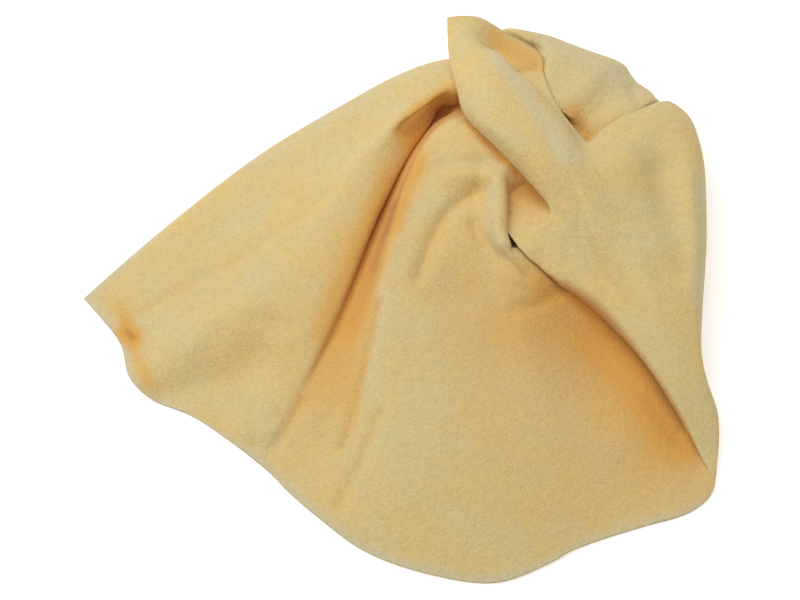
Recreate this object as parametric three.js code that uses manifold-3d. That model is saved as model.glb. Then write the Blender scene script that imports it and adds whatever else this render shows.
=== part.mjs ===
// A chamois leather: one oil-tanned skin, gathered into a waist at the back, its right side folded
// over, and laid on a table. Millimetres, +Z up, the front hem towards -Y, the right fold towards +X.
// The origin is on the table, under the middle of the skin.
import * as THREE from 'three';
import Module from 'manifold-3d';

const THICKNESS = 1.5;     // the skin, measured across the nap
const REST_CUT = 0.5;      // how deep the flats are where the skin lies on the table
const STEPS = [1, 2, 3, 3, 2, 1, 2, 2, 1, 1];     // facets between each two points of a fold line

// The fold lines of the skin, in order round it: from its back edge over the wing on the left, the
// valley and the middle panel to the right fold, then back over the flap on top to the flap's free edge.
// Each line runs from the near hem to the far edge, and all have as many points, so points of the same
// place in two lines are neighbours. A point is [x, y, height]; a height of 0 lies on the table.
const FOLD_LINES = {
  backEdge: [
    [-215, -5, 0], [-208, 3, 0], [-166, 48, 0], [-104, 107, 1], [-40, 152, 3], [-7, 171, 6],
    [25, 184, 8], [80, 197, 6], [84, 195, 20], [79, 205, 24], [78, 217, 0]],
  wingCrest: [
    [-205, -17, 0], [-198, -8, 1], [-154, 49, 6], [-95, 104, 12], [-33, 144, 22], [0, 160, 31],
    [32, 171, 36], [86, 189, 18], [94, 180, 45], [87, 195, 42], [90, 218, 0]],
  wingFace: [
    [-187, -42, 1], [-180, -34, 2.5], [-135, 14, 10], [-79, 67, 20], [-20, 114, 32], [9, 131, 40],
    [38, 145, 47], [94, 164, 40], [104, 168, 49], [108, 188, 43], [114, 211, 0]],
  wingSwell: [
    [-174, -76, 1], [-166, -69, 2.5], [-118, -27, 12], [-67, 16, 28], [-25, 80, 38], [4, 113, 43.5],
    [38, 136, 46], [100, 144, 41], [106, 150, 51], [122, 179, 45], [128, 204, 0]],
  wingLip: [
    [-121, -107, 2], [-99, -111, 4], [-75, -87, 9], [-44, -35, 23], [-9, 53, 36], [15, 107, 31],
    [44, 136, 36], [109, 130, 39], [111, 130, 50], [137, 171, 45], [144, 195, 0]],
  valleyFloor: [
    [-88, -133, 0], [-82, -123, 1], [-64, -93, 3], [-42, -35, 9], [-10, 56, 17], [13, 103, 25],
    [43, 136, 30], [114, 122, 38], [119, 122, 48], [150, 165, 45], [157, 189, 0]],
  valleyWall: [
    [-69, -153, 0], [-64, -144, 1], [-43, -105, 6], [-26, -34, 13], [-1, 55, 23], [20, 103, 30],
    [46, 127, 35], [118, 116, 37], [125, 118, 48], [155, 163, 44], [162, 186, 0]],
  panelFlank: [
    [-52, -169, 1], [-47, -159, 3], [-27, -114, 12], [-13, -36, 30], [6, 54, 42], [24, 98, 44.5],
    [49, 115, 45.5], [120, 112, 36], [130, 117, 48], [160, 161, 42], [167, 182, 0]],
  panelCrest: [
    [-20, -194, 0], [-17, -184, 3], [-2, -123, 19], [12, -44, 33], [26, 47, 45], [38, 82, 47],
    [56, 103, 48], [123, 107, 36], [139, 116, 47], [164, 155, 40], [173, 174, 0]],
  panelMiddle: [
    [22, -210, 0], [24, -199, 2.5], [36, -130, 20], [43, -48, 33], [45, 37, 43.5], [50, 69, 46],
    [62, 94, 47], [125, 102, 36], [149, 118, 47], [169, 151, 37], [177, 168, 0]],
  panelHollow: [
    [64, -216, 0], [65, -205, 2], [72, -133, 17], [68, -50, 29], [59, 27, 41.5], [61, 58, 43.5],
    [68, 83, 46], [127, 97, 37], [159, 121, 46], [174, 150, 34], [181, 164, 0]],
  loopRidge: [
    [99, -203, 1], [100, -192, 2.5], [101, -131, 14], [91, -52, 24], [72, 16, 43.5], [72, 46, 45],
    [76, 73, 46], [130, 88, 40], [172, 124, 44], [181, 146, 32], [186, 160, 0]],
  loopWall: [
    [114, -194, 1], [115, -183, 2], [119, -127, 10], [111, -46, 15], [79, 5, 40], [74, 47, 37],
    [80, 70, 37], [133, 82, 35], [180, 130, 38], [185, 141, 30], [191, 156, 0]],
  underLeft: [
    [133, -186, 0], [134, -175, 0.5], [140, -121, 4], [132, -39, 3], [99, 7, 26], [89, 39, 20],
    [93, 70, 14], [145, 83, 16], [185, 127, 30], [190, 138, 26], [195, 154, 0]],
  underMiddle: [
    [163, -176, 0], [165, -165, 0], [173, -110, 0], [167, -29, 0], [150, 43, 0], [144, 61, 1],
    [143, 73, 3], [171, 100, 4], [192, 127, 7], [196, 138, 6], [200, 147, 0]],
  foldLow: [
    [193, -166, 0], [195, -156, 0], [203, -113, 0], [201, -33, 0], [201, 43, 0], [200, 67, 0],
    [199, 85, 0], [201, 109, 0], [203, 121, 0], [205, 130, 0], [206, 137, 0]],
  rightFold: [
    [210, -149, 3.5], [212, -137, 6], [214, -99, 10], [206, -56, 19], [213, 21, 22], [215, 55, 25],
    [215, 82, 30], [212, 105, 33], [209, 117, 34], [205, 125, 34], [203, 130, 28]],
  foldHigh: [
    [204, -134, 8.5], [202, -128, 11], [202, -91, 19], [200, -43, 32], [205, 19, 38], [205, 49, 41],
    [206, 74, 43], [204, 106, 45], [200, 124, 43], [195, 129, 40], [194, 130, 34]],
  flapRight: [
    [190, -96, 6], [188, -100, 18], [181, -68, 28], [177, -30, 43], [176, 16, 50], [178, 44, 53],
    [180, 70, 55], [186, 108, 52], [187, 126, 47], [186, 129, 43], [186, 126, 41]],
  flapMiddle: [
    [167, -56, 7], [164, -61, 24], [159, -33, 33], [155, -2, 48], [153, 33, 55], [154, 53, 57],
    [156, 71, 59], [161, 98, 53], [162, 114, 49], [164, 114, 47.5], [165, 110, 47]],
  flapLeft: [
    [141, -24, 8], [139, -28, 28], [136, -2, 36], [133, 19, 52], [132, 43, 59], [132, 55, 61],
    [133, 65, 62], [132, 79, 57], [131, 90, 52.5], [135, 91, 47], [138, 91, 43]],
  bandCrest: [
    [122, -10, 15], [119, -12, 30], [124, 15, 42], [127, 35, 55], [119, 59, 65], [117, 69, 68],
    [115, 79, 69], [111, 97, 69], [107, 114, 66], [107, 117, 52], [110, 124, 52]],
  bandShoulder: [
    [114, -7, 20], [113, -8, 31], [118, 17, 43], [122, 35, 54], [110, 60, 66], [107, 73, 69],
    [104, 85, 71], [98, 106, 72], [94, 128, 68], [92, 135, 54], [96, 139, 54]],
  bandMiddle: [
    [108, -3, 23], [107, -4, 32], [112, 18, 43.5], [118, 35, 52.5], [102, 62, 67], [97, 76, 71],
    [93, 90, 73], [86, 116, 74], [81, 139, 70], [79, 147, 56], [101, 164, 52]],
  bandRidge: [
    [102, 1, 27], [101, 0, 32], [107, 19, 43], [113, 35, 51.5], [97, 63, 65], [84, 79, 70],
    [76, 91, 73], [69, 120, 75], [70, 153, 71], [69, 156, 57], [78, 180, 57]],
  bandLow: [
    [97, 5, 29], [96, 4, 34], [102, 21, 42.5], [110, 35, 50], [94, 60, 61], [76, 79, 66],
    [59, 99, 66.5], [52, 128, 69], [51, 157, 68], [52, 175, 66], [57, 191, 63]],
  bandEdge: [
    [92, 8, 33], [91, 7, 36], [95, 22, 41.5], [106, 36, 48], [91, 59, 52], [70, 85, 53.5],
    [50, 109, 54], [43, 133, 56], [38, 158, 57], [37, 177, 57], [37, 193, 58]],
  pleatInside: [
    [88, 11, 36.5], [86, 12, 39], [87, 23, 40], [93, 41, 41], [98, 60, 43], [86, 78, 52],
    [62, 104, 53], [52, 131, 54], [47, 158, 55], [46, 176, 55], [45, 191, 56]],
  freeEdge: [
    [83, 15, 37.5], [83, 14, 39.5], [79, 26, 39], [80, 44, 39.5], [85, 60, 42], [82, 81, 50],
    [57, 108, 50.5], [46, 133, 51.5], [41, 158, 52], [40, 177, 52], [40, 192, 53]],
};

const wasm = await Module();
wasm.setup();

// Where the samples along a fold line lie, counted in spans.
function samplePlaces() {
  const places = [0];
  STEPS.forEach((steps, span) => {
    for (let step = 1; step <= steps; step++) places.push(span + step / steps);
  });
  return places;
}

// The middle of the skin's thickness: one row of points for each fold line, smooth along the line.
function skinMiddle(lines) {
  const lift = THICKNESS / 2 - REST_CUT;
  return lines.map((line) => {
    const points = line.map(([x, y, height]) => new THREE.Vector3(x, y, height + lift));
    const curve = new THREE.CatmullRomCurve3(points, false, 'centripetal');
    return samplePlaces().map((place) => curve.getPoint(place / STEPS.length));
  });
}

// The directions square to the skin, one for each point of the grid: the mean of the facets round it.
function skinNormals(grid) {
  const normals = grid.map((row) => row.map(() => new THREE.Vector3()));
  for (let i = 0; i < grid.length - 1; i++) {
    for (let j = 0; j < grid[0].length - 1; j++) {
      const rising = grid[i + 1][j + 1].clone().sub(grid[i][j]);
      const falling = grid[i][j + 1].clone().sub(grid[i + 1][j]);
      const facet = rising.cross(falling).normalize();
      for (const row of [normals[i], normals[i + 1]]) {
        row[j].add(facet);
        row[j + 1].add(facet);
      }
    }
  }
  return normals.map((row) => row.map((normal) => normal.normalize()));
}

// Gives the grid its thickness: an upper face, a lower face, and the cut edge that joins them.
function thicken(grid) {
  const rows = grid.length;
  const columns = grid[0].length;
  const normals = skinNormals(grid);
  const positions = [];
  for (const side of [0.5, -0.5]) {
    for (let i = 0; i < rows; i++) {
      for (let j = 0; j < columns; j++) {
        positions.push(...grid[i][j].clone().addScaledVector(normals[i][j], side * THICKNESS));
      }
    }
  }
  const upper = (i, j) => i * columns + j;
  const lower = (i, j) => rows * columns + upper(i, j);
  const index = [];
  const quad = (a, b, c, d) => index.push(a, b, c, a, c, d);
  for (let i = 0; i < rows - 1; i++) {
    for (let j = 0; j < columns - 1; j++) {
      quad(upper(i, j), upper(i + 1, j), upper(i + 1, j + 1), upper(i, j + 1));
      quad(lower(i, j), lower(i, j + 1), lower(i + 1, j + 1), lower(i + 1, j));
    }
    quad(upper(i, 0), lower(i, 0), lower(i + 1, 0), upper(i + 1, 0));
    quad(upper(i + 1, columns - 1), lower(i + 1, columns - 1), lower(i, columns - 1), upper(i, columns - 1));
  }
  for (let j = 0; j < columns - 1; j++) {
    quad(upper(0, j + 1), lower(0, j + 1), lower(0, j), upper(0, j));
    quad(upper(rows - 1, j), lower(rows - 1, j), lower(rows - 1, j + 1), upper(rows - 1, j + 1));
  }
  const geometry = new THREE.BufferGeometry();
  geometry.setAttribute('position', new THREE.Float32BufferAttribute(positions, 3));
  geometry.setIndex(new THREE.Uint32BufferAttribute(index, 1));
  return geometry;
}

// Cuts away what would sink into the table, which leaves the skin flat where it lies on it.
function restOnTable(geometry) {
  const solid = new wasm.Manifold(new wasm.Mesh({
    numProp: 3,
    vertProperties: geometry.attributes.position.array,
    triVerts: geometry.index.array,
  }));
  const cut = solid.trimByPlane([0, 0, 1], 0).getMesh();
  const rested = new THREE.BufferGeometry();
  rested.setAttribute('position', new THREE.BufferAttribute(cut.vertProperties, cut.numProp));
  rested.setIndex(new THREE.BufferAttribute(cut.triVerts, 1));
  rested.computeVertexNormals();
  return rested;
}

const leather = new THREE.Mesh(
  restOnTable(thicken(skinMiddle(Object.values(FOLD_LINES)))),
  new THREE.MeshStandardMaterial({ color: 0xd6ba80, roughness: 0.95, metalness: 0 }),
);
leather.name = 'chamois_leather';

const chamois = new THREE.Group();
chamois.add(leather);

export default chamois;
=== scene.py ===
import math

import bpy
import numpy as np
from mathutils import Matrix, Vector


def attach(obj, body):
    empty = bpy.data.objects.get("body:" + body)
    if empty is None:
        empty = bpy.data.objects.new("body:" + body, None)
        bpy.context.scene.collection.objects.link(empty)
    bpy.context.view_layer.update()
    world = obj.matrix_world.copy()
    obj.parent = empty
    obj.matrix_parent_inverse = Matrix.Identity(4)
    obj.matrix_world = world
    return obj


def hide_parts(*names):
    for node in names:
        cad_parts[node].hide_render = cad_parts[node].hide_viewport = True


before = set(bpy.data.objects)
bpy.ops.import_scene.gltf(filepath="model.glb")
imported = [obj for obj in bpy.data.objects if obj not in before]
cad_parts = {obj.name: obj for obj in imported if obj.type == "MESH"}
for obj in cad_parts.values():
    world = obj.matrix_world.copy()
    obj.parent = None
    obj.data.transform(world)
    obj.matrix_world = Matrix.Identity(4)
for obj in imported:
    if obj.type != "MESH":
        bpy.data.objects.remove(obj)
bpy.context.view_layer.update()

# The skin: one oil-tanned sheepskin, split thin and buffed to a soft nap, its outline cut by hand.
# It is gathered into a waist at the back, its right side is folded over the waist, and it lies on a
# table with nothing holding it but its own folds.

MM = 0.001
SKIN_THICKNESS = 1.5 * MM

# Each fold line runs from the near hem to the far edge, and the lines follow one another round the skin:
# over the wing on the left, the valley and the middle panel to the right fold, then back over the flap
# on top to the flap's free edge. A point is (x, y, height) in millimetres; height 0 lies on the table.
FOLD_LINES = {
    "back edge": [
        (-215, -5, 0), (-208, 3, 0), (-166, 48, 0), (-104, 107, 1), (-40, 152, 3), (-7, 171, 6),
        (25, 184, 8), (80, 197, 6), (79, 193, 20), (75, 204, 24), (74, 216, 0)],
    "wing crest": [
        (-205, -17, 0), (-198, -8, 1), (-154, 49, 6), (-95, 104, 12), (-33, 144, 22), (0, 160, 31),
        (32, 171, 36), (86, 189, 18), (88, 184, 46), (81, 195, 42), (84, 218, 0)],
    "wing face": [
        (-187, -42, 1), (-180, -34, 2.5), (-135, 14, 10), (-79, 67, 20), (-20, 114, 32), (9, 131, 40),
        (38, 145, 47), (93, 160, 45), (104, 168, 49), (108, 188, 43), (114, 211, 0)],
    "wing swell": [
        (-174, -76, 1), (-166, -69, 2.5), (-118, -27, 12), (-67, 16, 28), (-25, 80, 38), (4, 113, 43.5),
        (38, 136, 46), (100, 140, 46), (106, 150, 51), (122, 179, 45), (128, 204, 0)],
    "wing lip": [
        (-121, -107, 2), (-99, -111, 4), (-75, -86, 8), (-44, -33, 20), (-9, 56, 31.5), (15, 109, 28),
        (44, 138, 33), (108, 127, 43), (111, 130, 50), (137, 171, 45), (144, 195, 0)],
    "valley floor": [
        (-88, -133, 0), (-82, -123, 1), (-64, -94, 5), (-42, -36, 11.5), (-10, 55, 20), (13, 105, 22.5),
        (43, 138, 27), (114, 120, 41), (119, 120, 50.5), (150, 165, 45), (157, 189, 0)],
    "valley wall": [
        (-69, -153, 0), (-64, -144, 1), (-43, -105, 6), (-26, -37, 19), (-1, 50, 30), (20, 101, 33),
        (46, 127, 35), (117, 115, 39.5), (125, 117, 48.5), (155, 163, 44), (162, 186, 0)],
    "panel flank": [
        (-52, -169, 1), (-47, -159, 3), (-27, -114, 12), (-13, -36, 30), (6, 54, 42), (24, 98, 44.5),
        (49, 115, 45.5), (120, 110, 39), (130, 118, 46.5), (160, 161, 42), (167, 182, 0)],
    "panel crest": [
        (-20, -194, 0), (-17, -184, 3), (-2, -123, 18), (12, -43, 30.5), (26, 47, 45), (38, 82, 47),
        (56, 103, 48), (123, 105, 39), (139, 118, 44.5), (164, 155, 40), (173, 174, 0)],
    "panel middle": [
        (22, -210, 0), (24, -199, 2.5), (36, -129, 18.5), (42, -45, 27.5), (44, 36, 42), (50, 69, 46),
        (62, 94, 47), (125, 100, 39), (149, 119, 45.5), (169, 151, 37), (177, 168, 0)],
    "panel hollow": [
        (64, -216, 0), (65, -205, 2), (72, -133, 15.5), (68, -47, 23.5), (58, 30, 39), (58, 57, 42),
        (68, 83, 46), (127, 96, 39), (159, 121, 46), (174, 150, 34), (181, 164, 0)],
    "loop ridge": [
        (99, -203, 1), (100, -192, 2.5), (101, -129, 12.5), (91, -51, 21), (71, 16, 43.5), (73, 45, 46),
        (77, 72, 46.5), (130, 88, 40), (172, 124, 44), (181, 146, 32), (186, 160, 0)],
    "loop wall": [
        (114, -194, 1), (115, -183, 2), (119, -128, 9), (111, -45, 13.5), (77, 7, 43), (76, 26, 33),
        (78, 61, 36), (133, 82, 35), (180, 130, 38), (185, 141, 30), (191, 156, 0)],
    "under left": [
        (133, -186, 0), (134, -175, 0.5), (140, -122, 6), (132, -41, 6), (83, 8, 38.5), (81, 23, 26),
        (93, 70, 14), (145, 83, 16), (185, 127, 30), (190, 138, 26), (195, 154, 0)],
    "under middle": [
        (163, -176, 0), (165, -165, 0), (173, -111, 1.5), (167, -31, 3), (150, 43, 0), (144, 61, 1),
        (143, 73, 3), (171, 100, 4), (192, 127, 7), (196, 138, 6), (200, 147, 0)],
    "fold low": [
        (193, -166, 0), (195, -156, 0), (203, -113, 0), (201, -33, 0), (201, 43, 0), (200, 67, 0),
        (199, 85, 0), (201, 109, 0), (203, 121, 0), (205, 130, 0), (206, 137, 0)],
    "right fold": [
        (209, -149, 1.5), (211, -137, 3.5), (214, -101, 10), (204, -64, 19), (213, 21, 22), (215, 55, 25),
        (215, 82, 30), (212, 105, 33), (209, 117, 34), (205, 125, 34), (203, 130, 28)],
    "fold high": [
        (203, -129, 4), (202, -125, 6), (202, -91, 19), (200, -45, 35), (204, 14, 46), (204, 44, 49),
        (205, 70, 50), (204, 105, 47), (200, 124, 43), (195, 129, 40), (194, 130, 34)],
    "flap right": [
        (189, -97, 5), (189, -100, 15), (181, -68, 28), (177, -30, 42.5), (176, 21, 43), (178, 48, 46.5),
        (180, 74, 49.5), (186, 108, 52), (187, 126, 47), (186, 129, 43), (186, 126, 41)],
    "flap middle": [
        (167, -56, 7), (164, -61, 24), (159, -33, 33), (155, -1, 46), (153, 35, 51.5), (154, 54, 55.5),
        (157, 72, 57), (161, 98, 53), (150, 106, 50.5), (152, 106, 48.5), (154, 103, 47.5)],
    "flap left": [
        (141, -24, 8), (139, -28, 28), (136, -2, 36), (133, 19, 52), (132, 43, 59), (132, 55, 61),
        (133, 65, 62), (132, 79, 57), (130, 88, 53), (135, 91, 47), (138, 91, 43)],
    "band crest": [
        (122, -10, 15), (119, -12, 30), (124, 15, 42), (127, 35, 55), (119, 59, 65), (117, 69, 68),
        (115, 79, 69), (115, 90, 67.5), (113, 109, 59), (112, 112, 52), (113, 120, 52)],
    "band shoulder": [
        (114, -10, 24.5), (113, -9, 32), (118, 17, 43), (122, 35, 54), (110, 60, 66), (107, 73, 69),
        (104, 85, 71), (98, 106, 72), (94, 128, 68), (92, 135, 54), (104, 148, 53)],
    "band middle": [
        (108, -6, 28.5), (107, -5, 33), (112, 18, 43.5), (118, 35, 52.5), (102, 62, 67), (97, 76, 71),
        (93, 90, 73), (86, 116, 74), (81, 139, 70), (79, 147, 56), (103, 165, 52)],
    "band ridge": [
        (102, -2, 31.5), (101, -1, 34), (107, 19, 43), (113, 35, 51.5), (97, 63, 65), (84, 79, 70),
        (76, 91, 73), (69, 120, 75), (70, 153, 71), (69, 156, 57), (78, 180, 57)],
    "band low": [
        (97, 2, 34), (96, 3, 36), (102, 21, 42.5), (110, 35, 50), (94, 60, 61), (76, 79, 66),
        (59, 99, 66.5), (52, 128, 69), (51, 157, 68), (52, 173, 68), (58, 187, 66)],
    "band edge": [
        (92, 6, 36.5), (91, 5, 38.5), (95, 22, 41.5), (106, 36, 48), (91, 60, 50), (70, 87, 50.5),
        (50, 111, 51), (43, 133, 56), (38, 158, 57), (37, 176, 59), (37, 189, 63)],
    "pleat inside": [
        (88, 9, 38.5), (87, 9, 40.5), (87, 24, 38.5), (104, 38, 41), (100, 62, 34.5), (89, 75, 42),
        (62, 106, 49.5), (52, 131, 54), (47, 158, 55), (46, 176, 55), (45, 191, 56)],
    "free edge": [
        (84, 14, 38.5), (83, 14, 40), (76, 28, 37.5), (76, 45, 34.5), (78, 63, 33), (87, 74, 36),
        (57, 109, 48.5), (46, 133, 51.5), (41, 158, 52), (40, 177, 52), (40, 192, 53)],
}
# The line past which the flap begins, how many points the surface has round the skin and along it, the
# length that a shorter step between lines counts as when those points are shared out, and how many times
# the surface is smoothed.
LAST_LINE_UNDER = "right fold"
SAMPLES_ROUND, SAMPLES_ALONG = 326, 150
LEAST_STEP = 24 * MM
RELAXING_PASSES = 3

# Swells and creases between the fold lines, each as how far it stands proud (less than nothing for a
# hollow), how wide it is, and its course on plan, all in millimetres. Those under are on the skin below
# the right fold, and those over are on the flap. A crease that sinks in also has shade painted into it.
SWELLS_UNDER = [
    # the front of the wing: a raised facet, the hollow in front of it, and a low swell by the valley
    (6.0, 18, [(-172, -72), (-139, -48), (-102, -27)]),
    (-8.0, 23, [(-145, -93), (-122, -79), (-93, -63)]),
    (3.0, 11, [(-79, -51), (-85, -82)]),
    # the panel in front of the loop
    (-3.0, 14, [(34, -19), (42, -24)]),
]
SWELLS_OVER = [
    # a low ridge down the flap, and the hollow between it and the right fold
    (4.0, 14, [(160, 63), (167, 51), (170, 35), (175, 12)]),
    (-4.5, 11, [(185, 68), (190, 51), (191, 33), (194, 8), (195, -7)]),
]
CREASES_UNDER = [
    # the wing
    (-1.5, 3.5, [(-184, -26), (-159, -9), (-132, 7), (-104, 19), (-87, 32), (-66, 48), (-45, 63)]),
    (-1.5, 5, [(-129, -50), (-111, -33), (-93, -30), (-73, -37)]),
    (-2.0, 3.5, [(-99, -88), (-95, -106), (-93, -118)]),
    # the valley, at its head and near the hem
    (-4.0, 4, [(4, 108), (11, 119), (20, 128), (35, 133)]),
    (-2.0, 4, [(-62, -89), (-73, -109), (-82, -123)]),
    # the panel beside the valley
    (-4.5, 3.5, [(-12, -28), (-17, -50), (-22, -73), (-27, -93), (-31, -110), (-36, -123)]),
    (-2.5, 3.5, [(-11, -104), (-17, -120), (-22, -133), (-30, -149), (-36, -163)]),
    # the loop at the top of the panel: its lip, and the creases round it
    (3.0, 5, [(36, 64), (50, 66), (63, 68), (70, 62), (71, 50), (70, 34), (70, 22), (73, 13)]),
    (-4.5, 5.5, [(57, 57), (46, 49), (35, 37), (28, 25), (22, 10), (16, -8)]),
    (-2.0, 3.5, [(30, 76), (51, 77), (72, 78)]),
    (-3.0, 4, [(53, 31), (61, 17), (68, 8), (76, 0), (89, -6)]),
    (-2.0, 4, [(80, -29), (88, -28), (96, -25), (104, -18), (112, -10)]),
    # under the band, and on the skin behind the band and the flap
    (-1.5, 3, [(48, 113), (57, 100), (67, 89), (77, 77), (84, 70)]),
    (-3.0, 6, [(120, 117), (127, 110), (131, 102)]),
    (-11.0, 4, [(93, 171), (100, 172)]),
    (-1.5, 3, [(167, 145), (169, 134), (171, 125)]),
]
CREASES_OVER = [
    # inside the hook at the back of the band
    (-2.0, 3, [(101, 153), (95, 151), (88, 148)]),
]

# Shade in the folds is painted into the skin's colour as a deeper orange tan, darkest where the shade is
# deepest; among it is one real oil stain, at the corner of the wing. Highlights and sheen on crests and
# edges, and some grey shade lines, are painted as a paler grey. Each place is how strong the change of
# colour is, how wide it is, and its course on plan, in millimetres.
SHADE_AND_STAIN_UNDER = [
    # the flap's painted shadow on the panel beside it, from a broad tint to a narrow one close to it
    (0.65, 42, [(120, -18), (143, -32), (169, -61), (196, -113)]),
    (0.35, 16, [(139, -49), (164, -83), (181, -114)]),
    (0.3, 9, [(167, -86), (180, -108), (190, -122)]),
    (0.5, 6, [(117, -8), (133, -18), (149, -35), (166, -54), (179, -77), (193, -103)]),
    # fainter painted shade over the rest of the panel
    (0.18, 45, [(107, -148), (142, -123), (169, -114)]),
    (0.15, 40, [(69, -94), (110, -90)]),
    (0.2, 30, [(50, -52), (83, -53), (118, -51)]),
    (0.25, 28, [(40, -9), (61, -29), (87, -39)]),
    (0.5, 8, [(98, -10), (106, -15)]),
    # painted shade in the valley: its head, the wing's side, and the panel's side, which fades towards the
    # hem
    (1.2, 7, [(6, 108), (17, 121), (36, 134)]),
    (0.5, 6, [(-6, 74), (-13, 54), (-24, 29), (-32, 7), (-43, -20), (-52, -44)]),
    (0.4, 6, [(20, 88), (15, 79), (10, 67)]),
    (0.45, 6, [(18, 78), (12, 65), (6, 50), (0, 29)]),
    (0.4, 7, [(17, 76), (5, 49), (-2, 27), (-9, 2)]),
    (0.4, 9, [(0, 49), (-7, 28), (-15, 5), (-24, -21), (-29, -36)]),
    # painted shade under the band, and in the loop
    (0.45, 6, [(60, 103), (73, 87), (83, 75)]),
    (0.7, 2.5, [(48, 113), (57, 100), (67, 89), (77, 77), (84, 70)]),
    (0.5, 2.5, [(78, 52), (78, 61), (83, 66), (88, 69)]),
    # painted shade in the notch behind the flap
    (0.7, 9, [(124, 115), (129, 108), (133, 103)]),
    (0.8, 3, [(126, 102), (131, 96)]),
    # a stain at the corner of the wing, and the hem beside it
    (1.1, 7, [(-185, -33), (-179, -37)]),
    (0.55, 5, [(-190, -12), (-181, -33), (-172, -62), (-166, -76)]),
]
PAINTED_SHADE_OVER = [
    # painted shade inside the hook at the back of the band
    (0.7, 11, [(71, 174), (85, 165), (96, 159)]),
]
HIGHLIGHTS_AND_SHADE_LINES_UNDER = [
    # painted highlights on the crest of the wing, and on the skin behind the flap
    (0.4, 8, [(-100, 99), (-68, 120), (-40, 136), (3, 157), (29, 163)]),
    (0.6, 14, [(107, 181), (138, 162), (162, 149)]),
    # a painted highlight on the panel's edge over the valley, and painted grey shade lines round the loop's
    # lip
    (0.35, 8, [(6, 42), (-2, 2), (-8, -41), (-17, -84)]),
    (0.4, 4, [(30, 76), (51, 77), (72, 78)]),
    (0.5, 4, [(66, 55), (65, 44), (65, 28), (68, 16), (76, 6)]),
]
HIGHLIGHTS_AND_SHEEN_OVER = [
    # a painted highlight along the band's crest, and painted sheen on the right fold
    (0.65, 7, [(67, 153), (77, 135), (87, 118), (99, 97), (109, 79), (116, 68)]),
    (0.5, 8, [(209, 59), (207, 20), (203, -25)]),
]

# Parts of the skin with shade painted all over them, as a deeper tan: how much at the fold lines round
# them, and for each point along a line. They are the valley between wing and panel, the inside of the
# pleat, and the flap's turned edge, all in shade.
PAINTED_SHADE_PARTS = [
    ({"wing swell": 0, "wing lip": 0.28, "valley floor": 1, "valley wall": 1, "panel flank": 0},
     (0, 0.02, 0.1, 0.5, 0.8, 1, 1, 0, 0, 0, 0)),
    ({"band edge": 0, "pleat inside": 1, "free edge": 0.5},
     (0, 0, 0, 0.12, 0.45, 0.8, 1, 0, 0, 0, 0)),
    ({"fold high": 0, "flap right": 1, "band low": 1, "free edge": 0},
     (1, 0, 0, 0, 0, 0, 0, 0, 0, 0, 0)),
]
# The painted shade that a groove adds for each millimetre of its depth, and the most that a point's value
# comes to.
GROOVE_SHADE = 0.04
MOST_KEPT = 2


def blend_weights(knots, places):
    """How much each control point counts at each place: a cubic between the two nearest knots whose slope
    at a knot is the mean of the slopes on both sides of it, the shorter side counting for more."""
    gaps = np.diff(knots)
    chords = np.diff(np.eye(len(knots)), axis=0) / gaps[:, None]
    slopes = np.empty((len(knots), len(knots)))
    slopes[0], slopes[-1] = chords[0], chords[-1]
    share = (gaps[:-1] / (gaps[:-1] + gaps[1:]))[:, None]
    slopes[1:-1] = share * chords[1:] + (1 - share) * chords[:-1]
    span = np.clip(np.searchsorted(knots, places, side="right") - 1, 0, len(gaps) - 1)
    gap = gaps[span][:, None]
    t = (places - knots[span])[:, None] / gap
    ends = np.eye(len(knots))
    return ((1 + 2 * t) * (1 - t) ** 2 * ends[span] + t * (1 - t) ** 2 * gap * slopes[span]
            + t ** 2 * (3 - 2 * t) * ends[span + 1] + t ** 2 * (t - 1) * gap * slopes[span + 1])


def even_places(control, axis, count):
    """Knots along one axis of the control points, spaced by the square root of the mean step between them,
    and count places among them, evenly spaced along the skin itself but never sparse in a short step."""
    steps = np.linalg.norm(np.diff(control, axis=axis), axis=2).mean(axis=1 - axis)
    knots = np.concatenate([[0], np.cumsum(np.sqrt(steps))])
    lengths = np.concatenate([[0], np.cumsum(np.maximum(steps, LEAST_STEP))])
    return knots, np.interp(np.linspace(0, lengths[-1], count), lengths, knots)


def relaxed(grid, passes):
    """Each pass moves every point halfway to the mean of its neighbours, first round the skin and then
    along it, and leaves the outline where it is."""
    for _ in range(passes):
        grid[1:-1] = 0.25 * grid[:-2] + 0.5 * grid[1:-1] + 0.25 * grid[2:]
        grid[:, 1:-1] = 0.25 * grid[:, :-2] + 0.5 * grid[:, 1:-1] + 0.25 * grid[:, 2:]
    return grid


def outward(grid):
    """Unit directions square to the surface: the cross product of its slopes round and along the skin."""
    across = np.cross(np.gradient(grid, axis=0), np.gradient(grid, axis=1))
    return across / np.linalg.norm(across, axis=2, keepdims=True)


def off_course(plan, course):
    """Distance on plan from each point to the nearest point of a course of straight pieces."""
    course = np.array(course, float) * MM
    start, run = course[:-1], np.diff(course, axis=0)
    reach = plan[..., None, :] - start
    part = np.clip((reach * run).sum(-1) / (run ** 2).sum(-1), 0, 1)
    return np.linalg.norm(reach - part[..., None] * run, axis=-1).min(-1)


def shares(grid, courses):
    """The sum, over courses of (strength, width, points), of the strength times a bell curve of the
    distance on plan from the course."""
    return sum(strength * np.exp(-(off_course(grid[..., :2], points) / (width * MM)) ** 2)
               for strength, width, points in courses)


def creased(grid, creases, share):
    """Moves the surface along its outward direction by the creases' heights times share, which is 0 off the
    part of the skin that the creases are on, 1 on it, and -1 where it is the other face that looks up."""
    return grid + (shares(grid, creases) * MM * share)[..., None] * outward(grid)


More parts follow.
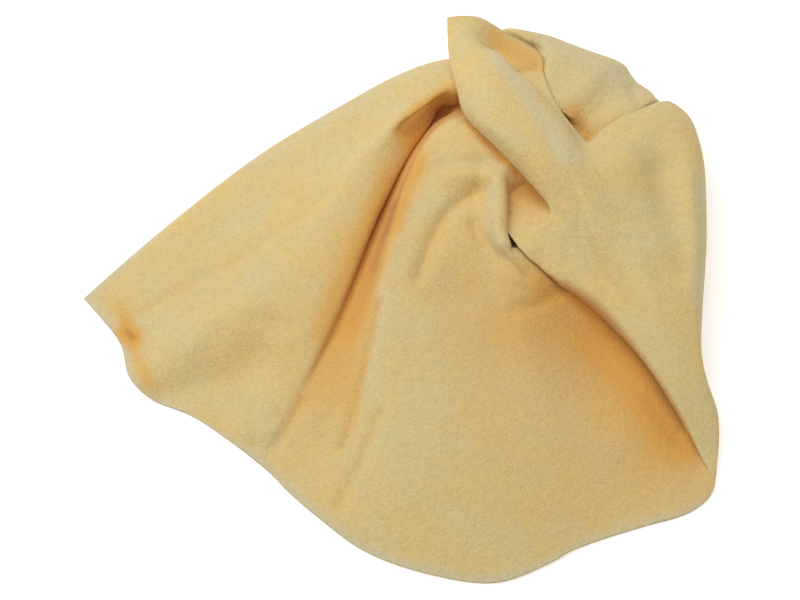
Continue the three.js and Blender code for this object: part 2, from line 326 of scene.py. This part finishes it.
control = np.array(list(FOLD_LINES.values()), float) * MM
round_knots, round_places = even_places(control, 0, SAMPLES_ROUND)
along_knots, along_places = even_places(control, 1, SAMPLES_ALONG)
skin_grid = np.einsum("ri,aj,ijk->rak", blend_weights(round_knots, round_places),
                      blend_weights(along_knots, along_places), control)
skin_grid = relaxed(skin_grid, RELAXING_PASSES)
fold_knot = round_knots[list(FOLD_LINES).index(LAST_LINE_UNDER)]
is_over = np.repeat((round_places > fold_knot)[:, None], SAMPLES_ALONG, axis=1).astype(float)
skin_grid = creased(skin_grid, SWELLS_UNDER + CREASES_UNDER, 1 - is_over)
skin_grid = creased(skin_grid, SWELLS_OVER + CREASES_OVER, -is_over)
skin_grid[..., 2] = np.maximum(skin_grid[..., 2] + SKIN_THICKNESS / 2, SKIN_THICKNESS / 2)

corner = np.arange(SAMPLES_ROUND * SAMPLES_ALONG).reshape(SAMPLES_ROUND, SAMPLES_ALONG)
quads = np.stack([corner[:-1, :-1], corner[1:, :-1], corner[1:, 1:], corner[:-1, 1:]], -1).reshape(-1, 4)
skin_mesh = bpy.data.meshes.new("chamois_skin")
skin_mesh.from_pydata(skin_grid.reshape(-1, 3), [], quads)
skin_mesh.polygons.foreach_set("use_smooth", np.ones(len(quads), bool))
skin = bpy.data.objects.new("chamois_skin", skin_mesh)
bpy.context.collection.objects.link(skin)
thickness = skin.modifiers.new("thickness", "SOLIDIFY")
thickness.thickness = SKIN_THICKNESS
thickness.offset = 0


def on_skin(under, over):
    """The shares of the courses under the fold on the skin below it, and of those over it on the flap."""
    return shares(skin_grid, under) * (1 - is_over) + shares(skin_grid, over) * is_over


def on_part(round_shares, along_shares):
    """The product of a share round the skin and one along it, each straight between the fold lines or points
    it is given at. What it lacks of 1 is cubed, so that it stays near 1 until close to the part's bounds."""
    lines = [round_knots[list(FOLD_LINES).index(line)] for line in round_shares]
    share = np.interp(round_places, lines, list(round_shares.values()), left=0, right=0)[:, None]
    share = share * np.interp(along_places, along_knots, along_shares)
    return 1 - (1 - share) ** 3


# The painted shade in folds and grooves, with the oil stain among it, and the painted highlights, sheen and
# grey shade lines.
grooves = np.maximum(-on_skin(CREASES_UNDER, CREASES_OVER), 0)
painted_shade_and_stain = on_skin(SHADE_AND_STAIN_UNDER, PAINTED_SHADE_OVER) + GROOVE_SHADE * grooves + sum(on_part(*part) for part in PAINTED_SHADE_PARTS)
painted_highlights_and_shade_lines = on_skin(HIGHLIGHTS_AND_SHADE_LINES_UNDER, HIGHLIGHTS_AND_SHEEN_OVER)
# Distance along the skin to the nearest cut edge, for the pale grey painted along the hem as the light on
# its rim. The flap's edges are turned in, so it gets a metre added and shows none of it.
step_round = np.linalg.norm(np.diff(skin_grid, axis=0), axis=2)
step_along = np.linalg.norm(np.diff(skin_grid, axis=1), axis=2)
from_first = np.pad(np.cumsum(step_round, axis=0), ((1, 0), (0, 0)))
from_hem = np.pad(np.cumsum(step_along, axis=1), ((0, 0), (1, 0)))
to_cut = np.minimum.reduce([from_first, from_first[-1] - from_first, from_hem, from_hem[:, -1:] - from_hem])
to_cut = to_cut + is_over
for name, values in {"to_cut": to_cut, "painted_shade_and_stain": painted_shade_and_stain, "painted_highlights_and_shade_lines": painted_highlights_and_shade_lines}.items():
    attribute = skin_mesh.attributes.new(name, "FLOAT", "POINT")
    attribute.data.foreach_set("value", values.clip(0, MOST_KEPT).ravel().astype(np.float32))


class Shade:
    """One output socket of a material's nodes. Arithmetic with numbers or other shades adds Math nodes."""

    def __init__(self, tree, socket=None):
        self.tree = tree
        self.socket = socket

    def node(self, kind, settings=None, values=None, output=0):
        """Adds a node: its settings first, then a value or a link for each socket."""
        made = self.tree.nodes.new(kind)
        for name, setting in (settings or {}).items():
            setattr(made, name, setting)
        for name, value in (values or {}).items():
            if isinstance(value, Shade):
                self.tree.links.new(value.socket, made.inputs[name])
            else:
                made.inputs[name].default_value = value
        return Shade(self.tree, made.outputs[output] if made.outputs else None)

    def math(self, operation, first, second):
        """Adds a Math node that takes two numbers or shades."""
        return self.node("ShaderNodeMath", {"operation": operation}, {0: first, 1: second})

    def __add__(self, other):
        return self.math("ADD", self, other)

    def __sub__(self, other):
        return self.math("SUBTRACT", self, other)

    def __rsub__(self, other):
        return self.math("SUBTRACT", other, self)

    def __mul__(self, other):
        return self.math("MULTIPLY", self, other)

    __radd__ = __add__
    __rmul__ = __mul__


suede = bpy.data.materials.new("chamois_suede")
suede.use_nodes = True
suede.node_tree.nodes.clear()
shade = Shade(suede.node_tree)
place = shade.node("ShaderNodeTexCoord", output="Object")


def cloud(scale, detail=2.0, roughness=0.5):
    """Soft noise from 0 to 1 with about scale patches to the metre."""
    return shade.node("ShaderNodeTexNoise", None,
                      {"Vector": place, "Scale": scale, "Detail": detail, "Roughness": roughness})


def between(value, low, high):
    """0 below low, 1 above high, and a smooth rise from one to the other."""
    return shade.node("ShaderNodeMapRange", {"interpolation_type": "SMOOTHSTEP"},
                      {"Value": value, "From Min": low, "From Max": high})


def mixed(share, first, second):
    """A colour that goes from the first to the second as share goes from 0 to 1."""
    return shade.node("ShaderNodeMix", {"data_type": "RGBA"}, {0: share, 6: first, 7: second}, output=2)


def kept(name):
    """A number that the mesh keeps for each of its points."""
    return shade.node("ShaderNodeAttribute", {"attribute_name": name}, output="Fac")


GOLD = (0.90, 0.655, 0.25, 1)
BEIGE = (0.83, 0.68, 0.335, 1)
ROSE = (0.88, 0.64, 0.31, 1)
# pale grey painted as the light on the rims of cut edges, as highlights and sheen, and as grey shade lines
PAINTED_PALE_GREY = (0.77, 0.69, 0.45, 1)
# the tan painted as shade in the folds, and also the colour of the oil stain
SHADE_AND_STAIN_TAN = (0.88, 0.46, 0.095, 1)
# the darkest painted shade, rust-brown, also reached at the middle of the oil stain
DARKEST_SHADE_AND_STAIN = (0.60, 0.22, 0.04, 1)
UMBER = (0.42, 0.29, 0.11, 1)
SHEEN = (1.0, 0.93, 0.78, 1)

# How many patches, fibres or pebbles of each kind there are to the metre.
PATCH_COUNT, BLUSH_COUNT, MOTTLE_COUNT = 28, 47, 240
FIBRE_COUNT, PEBBLE_COUNT = 900, 520
# How much of a colour comes in where there is most of it.
BLUSH_SHARE, RIM_LIGHT_SHARE, MOTTLE_SHARE, FIBRE_SHARE = 0.4, 0.8, 0.13, 0.2
# How far from the cut the painted rim light on the hem is at its palest and where it ends, and how much of
# the painted shade and stain starts and ends the darkest painted shade.
RIM_LIGHT_OUTER, RIM_LIGHT_INNER = 1 * MM, 9 * MM
DARKEST_SHADE_LEAST, DARKEST_SHADE_MOST = 1.1, 2.0
# The nap's relief: how deep it is, and what each pattern adds to it or, for the pebbles, takes away.
NAP_STRENGTH, NAP_DEPTH = 0.6, 1.2 * MM
FIBRE_RELIEF, MOTTLE_RELIEF, PEBBLE_RELIEF = 0.6, 0.6, 0.5

patches = between(cloud(PATCH_COUNT, detail=3.0, roughness=0.55), low=0.34, high=0.70)
blush = between(cloud(BLUSH_COUNT), low=0.42, high=0.68)
painted_rim_light = 1 - between(kept("to_cut"), low=RIM_LIGHT_OUTER, high=RIM_LIGHT_INNER)
shade_and_stain_amount = kept("painted_shade_and_stain")
mottle = cloud(MOTTLE_COUNT, detail=5.0, roughness=0.68)
fibres = cloud(FIBRE_COUNT, roughness=0.6)
pebbles = shade.node("ShaderNodeTexVoronoi", {"feature": "SMOOTH_F1"},
                     {"Vector": place, "Scale": PEBBLE_COUNT, "Smoothness": 0.6}, output="Distance")

nap = mixed(patches, GOLD, BEIGE)
nap = mixed(blush * BLUSH_SHARE, nap, ROSE)
# pale grey painted along the cut edges as the light on their rims
nap = mixed(painted_rim_light * RIM_LIGHT_SHARE, nap, PAINTED_PALE_GREY)
# pale grey painted as highlights and sheen, and as some grey shade lines
nap = mixed(kept("painted_highlights_and_shade_lines"), nap, PAINTED_PALE_GREY)
# a deeper tan painted as the shade in the folds, and at the oil stain on the wing's corner
nap = mixed(shade_and_stain_amount, nap, SHADE_AND_STAIN_TAN)
# the darkest painted shade, where the painted shade is deepest, and at the middle of the oil stain
nap = mixed(between(shade_and_stain_amount, low=DARKEST_SHADE_LEAST, high=DARKEST_SHADE_MOST), nap, DARKEST_SHADE_AND_STAIN)
nap = mixed(between(mottle, low=0.35, high=0.65) * MOTTLE_SHARE, nap, UMBER)
nap = mixed(between(fibres + pebbles * PEBBLE_RELIEF, low=0.45, high=1.05) * FIBRE_SHARE, nap, UMBER)
grain = fibres * FIBRE_RELIEF + mottle * MOTTLE_RELIEF - pebbles * PEBBLE_RELIEF
bump = shade.node("ShaderNodeBump", None, {"Strength": NAP_STRENGTH, "Distance": NAP_DEPTH, "Height": grain},
                  output="Normal")
surface = shade.node("ShaderNodeBsdfPrincipled", None, {
    "Base Color": nap, "Roughness": 0.95, "Normal": bump, "Specular IOR Level": 0.15,
    "Sheen Weight": 0.25, "Sheen Roughness": 0.6, "Sheen Tint": SHEEN})
shade.node("ShaderNodeOutputMaterial", None, {"Surface": surface})
skin_mesh.materials.append(suede)

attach(skin, "root")
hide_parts("chamois_leather")

# The table: a plain white painted board. It glows a little, so that shadows on it stay pale.
TABLE_SIZE = 6.0
BOARD_WHITE = (0.9, 0.9, 0.9, 1)
BOARD_GLOW = 0.44
half = TABLE_SIZE / 2
table_corners = [(-half, -half, 0), (half, -half, 0), (half, half, 0), (-half, half, 0)]
table_mesh = bpy.data.meshes.new("table")
table_mesh.from_pydata(table_corners, [], [(0, 1, 2, 3)])
table = bpy.data.objects.new("table", table_mesh)
bpy.context.collection.objects.link(table)
white_board = bpy.data.materials.new("white_board")
white_board.use_nodes = True
board = white_board.node_tree.nodes["Principled BSDF"]
board.inputs["Base Color"].default_value = BOARD_WHITE
board.inputs["Roughness"].default_value = 0.9
board.inputs["Emission Color"].default_value = (1, 1, 1, 1)
board.inputs["Emission Strength"].default_value = BOARD_GLOW
table_mesh.materials.append(white_board)

# The light: a white room, and one large soft light high at the back on the left.
ROOM_STRENGTH = 0.40
LAMP_SIZE = 1.4
LAMP_POWER = 15.5
LAMP_PLACE = Vector((-0.5, 0.4, 1.45))
room = bpy.data.worlds.new("white_room")
bpy.context.scene.world = room
room.use_nodes = True
room.node_tree.nodes["Background"].inputs["Color"].default_value = (1, 1, 1, 1)
room.node_tree.nodes["Background"].inputs["Strength"].default_value = ROOM_STRENGTH
soft_light = bpy.data.lights.new("soft_light", "AREA")
soft_light.size = LAMP_SIZE
soft_light.energy = LAMP_POWER
soft_lamp = bpy.data.objects.new("soft_light", soft_light)
soft_lamp.location = LAMP_PLACE
soft_lamp.rotation_euler = (-LAMP_PLACE).to_track_quat("-Z", "Y").to_euler()
bpy.context.collection.objects.link(soft_lamp)
bpy.context.scene.view_settings.view_transform = "Standard"

# The camera: looks down at 60 degrees from straight in front, with a long lens.
CAMERA_HEIGHT_ANGLE = math.radians(60)
CAMERA_DISTANCE = 1.5
CAMERA_TARGET = Vector((0.003, -0.017, 0.020))
SENSOR_WIDTH, FOCAL_LENGTH = 36, 99.27
camera = bpy.data.cameras.new("camera")
camera.sensor_width = SENSOR_WIDTH
camera.lens = FOCAL_LENGTH
viewpoint = bpy.data.objects.new("camera", camera)
towards = Vector((0, math.cos(CAMERA_HEIGHT_ANGLE), -math.sin(CAMERA_HEIGHT_ANGLE)))
viewpoint.location = CAMERA_TARGET - CAMERA_DISTANCE * towards
viewpoint.rotation_euler = towards.to_track_quat("-Z", "Y").to_euler()
bpy.context.collection.objects.link(viewpoint)
bpy.context.scene.camera = viewpoint
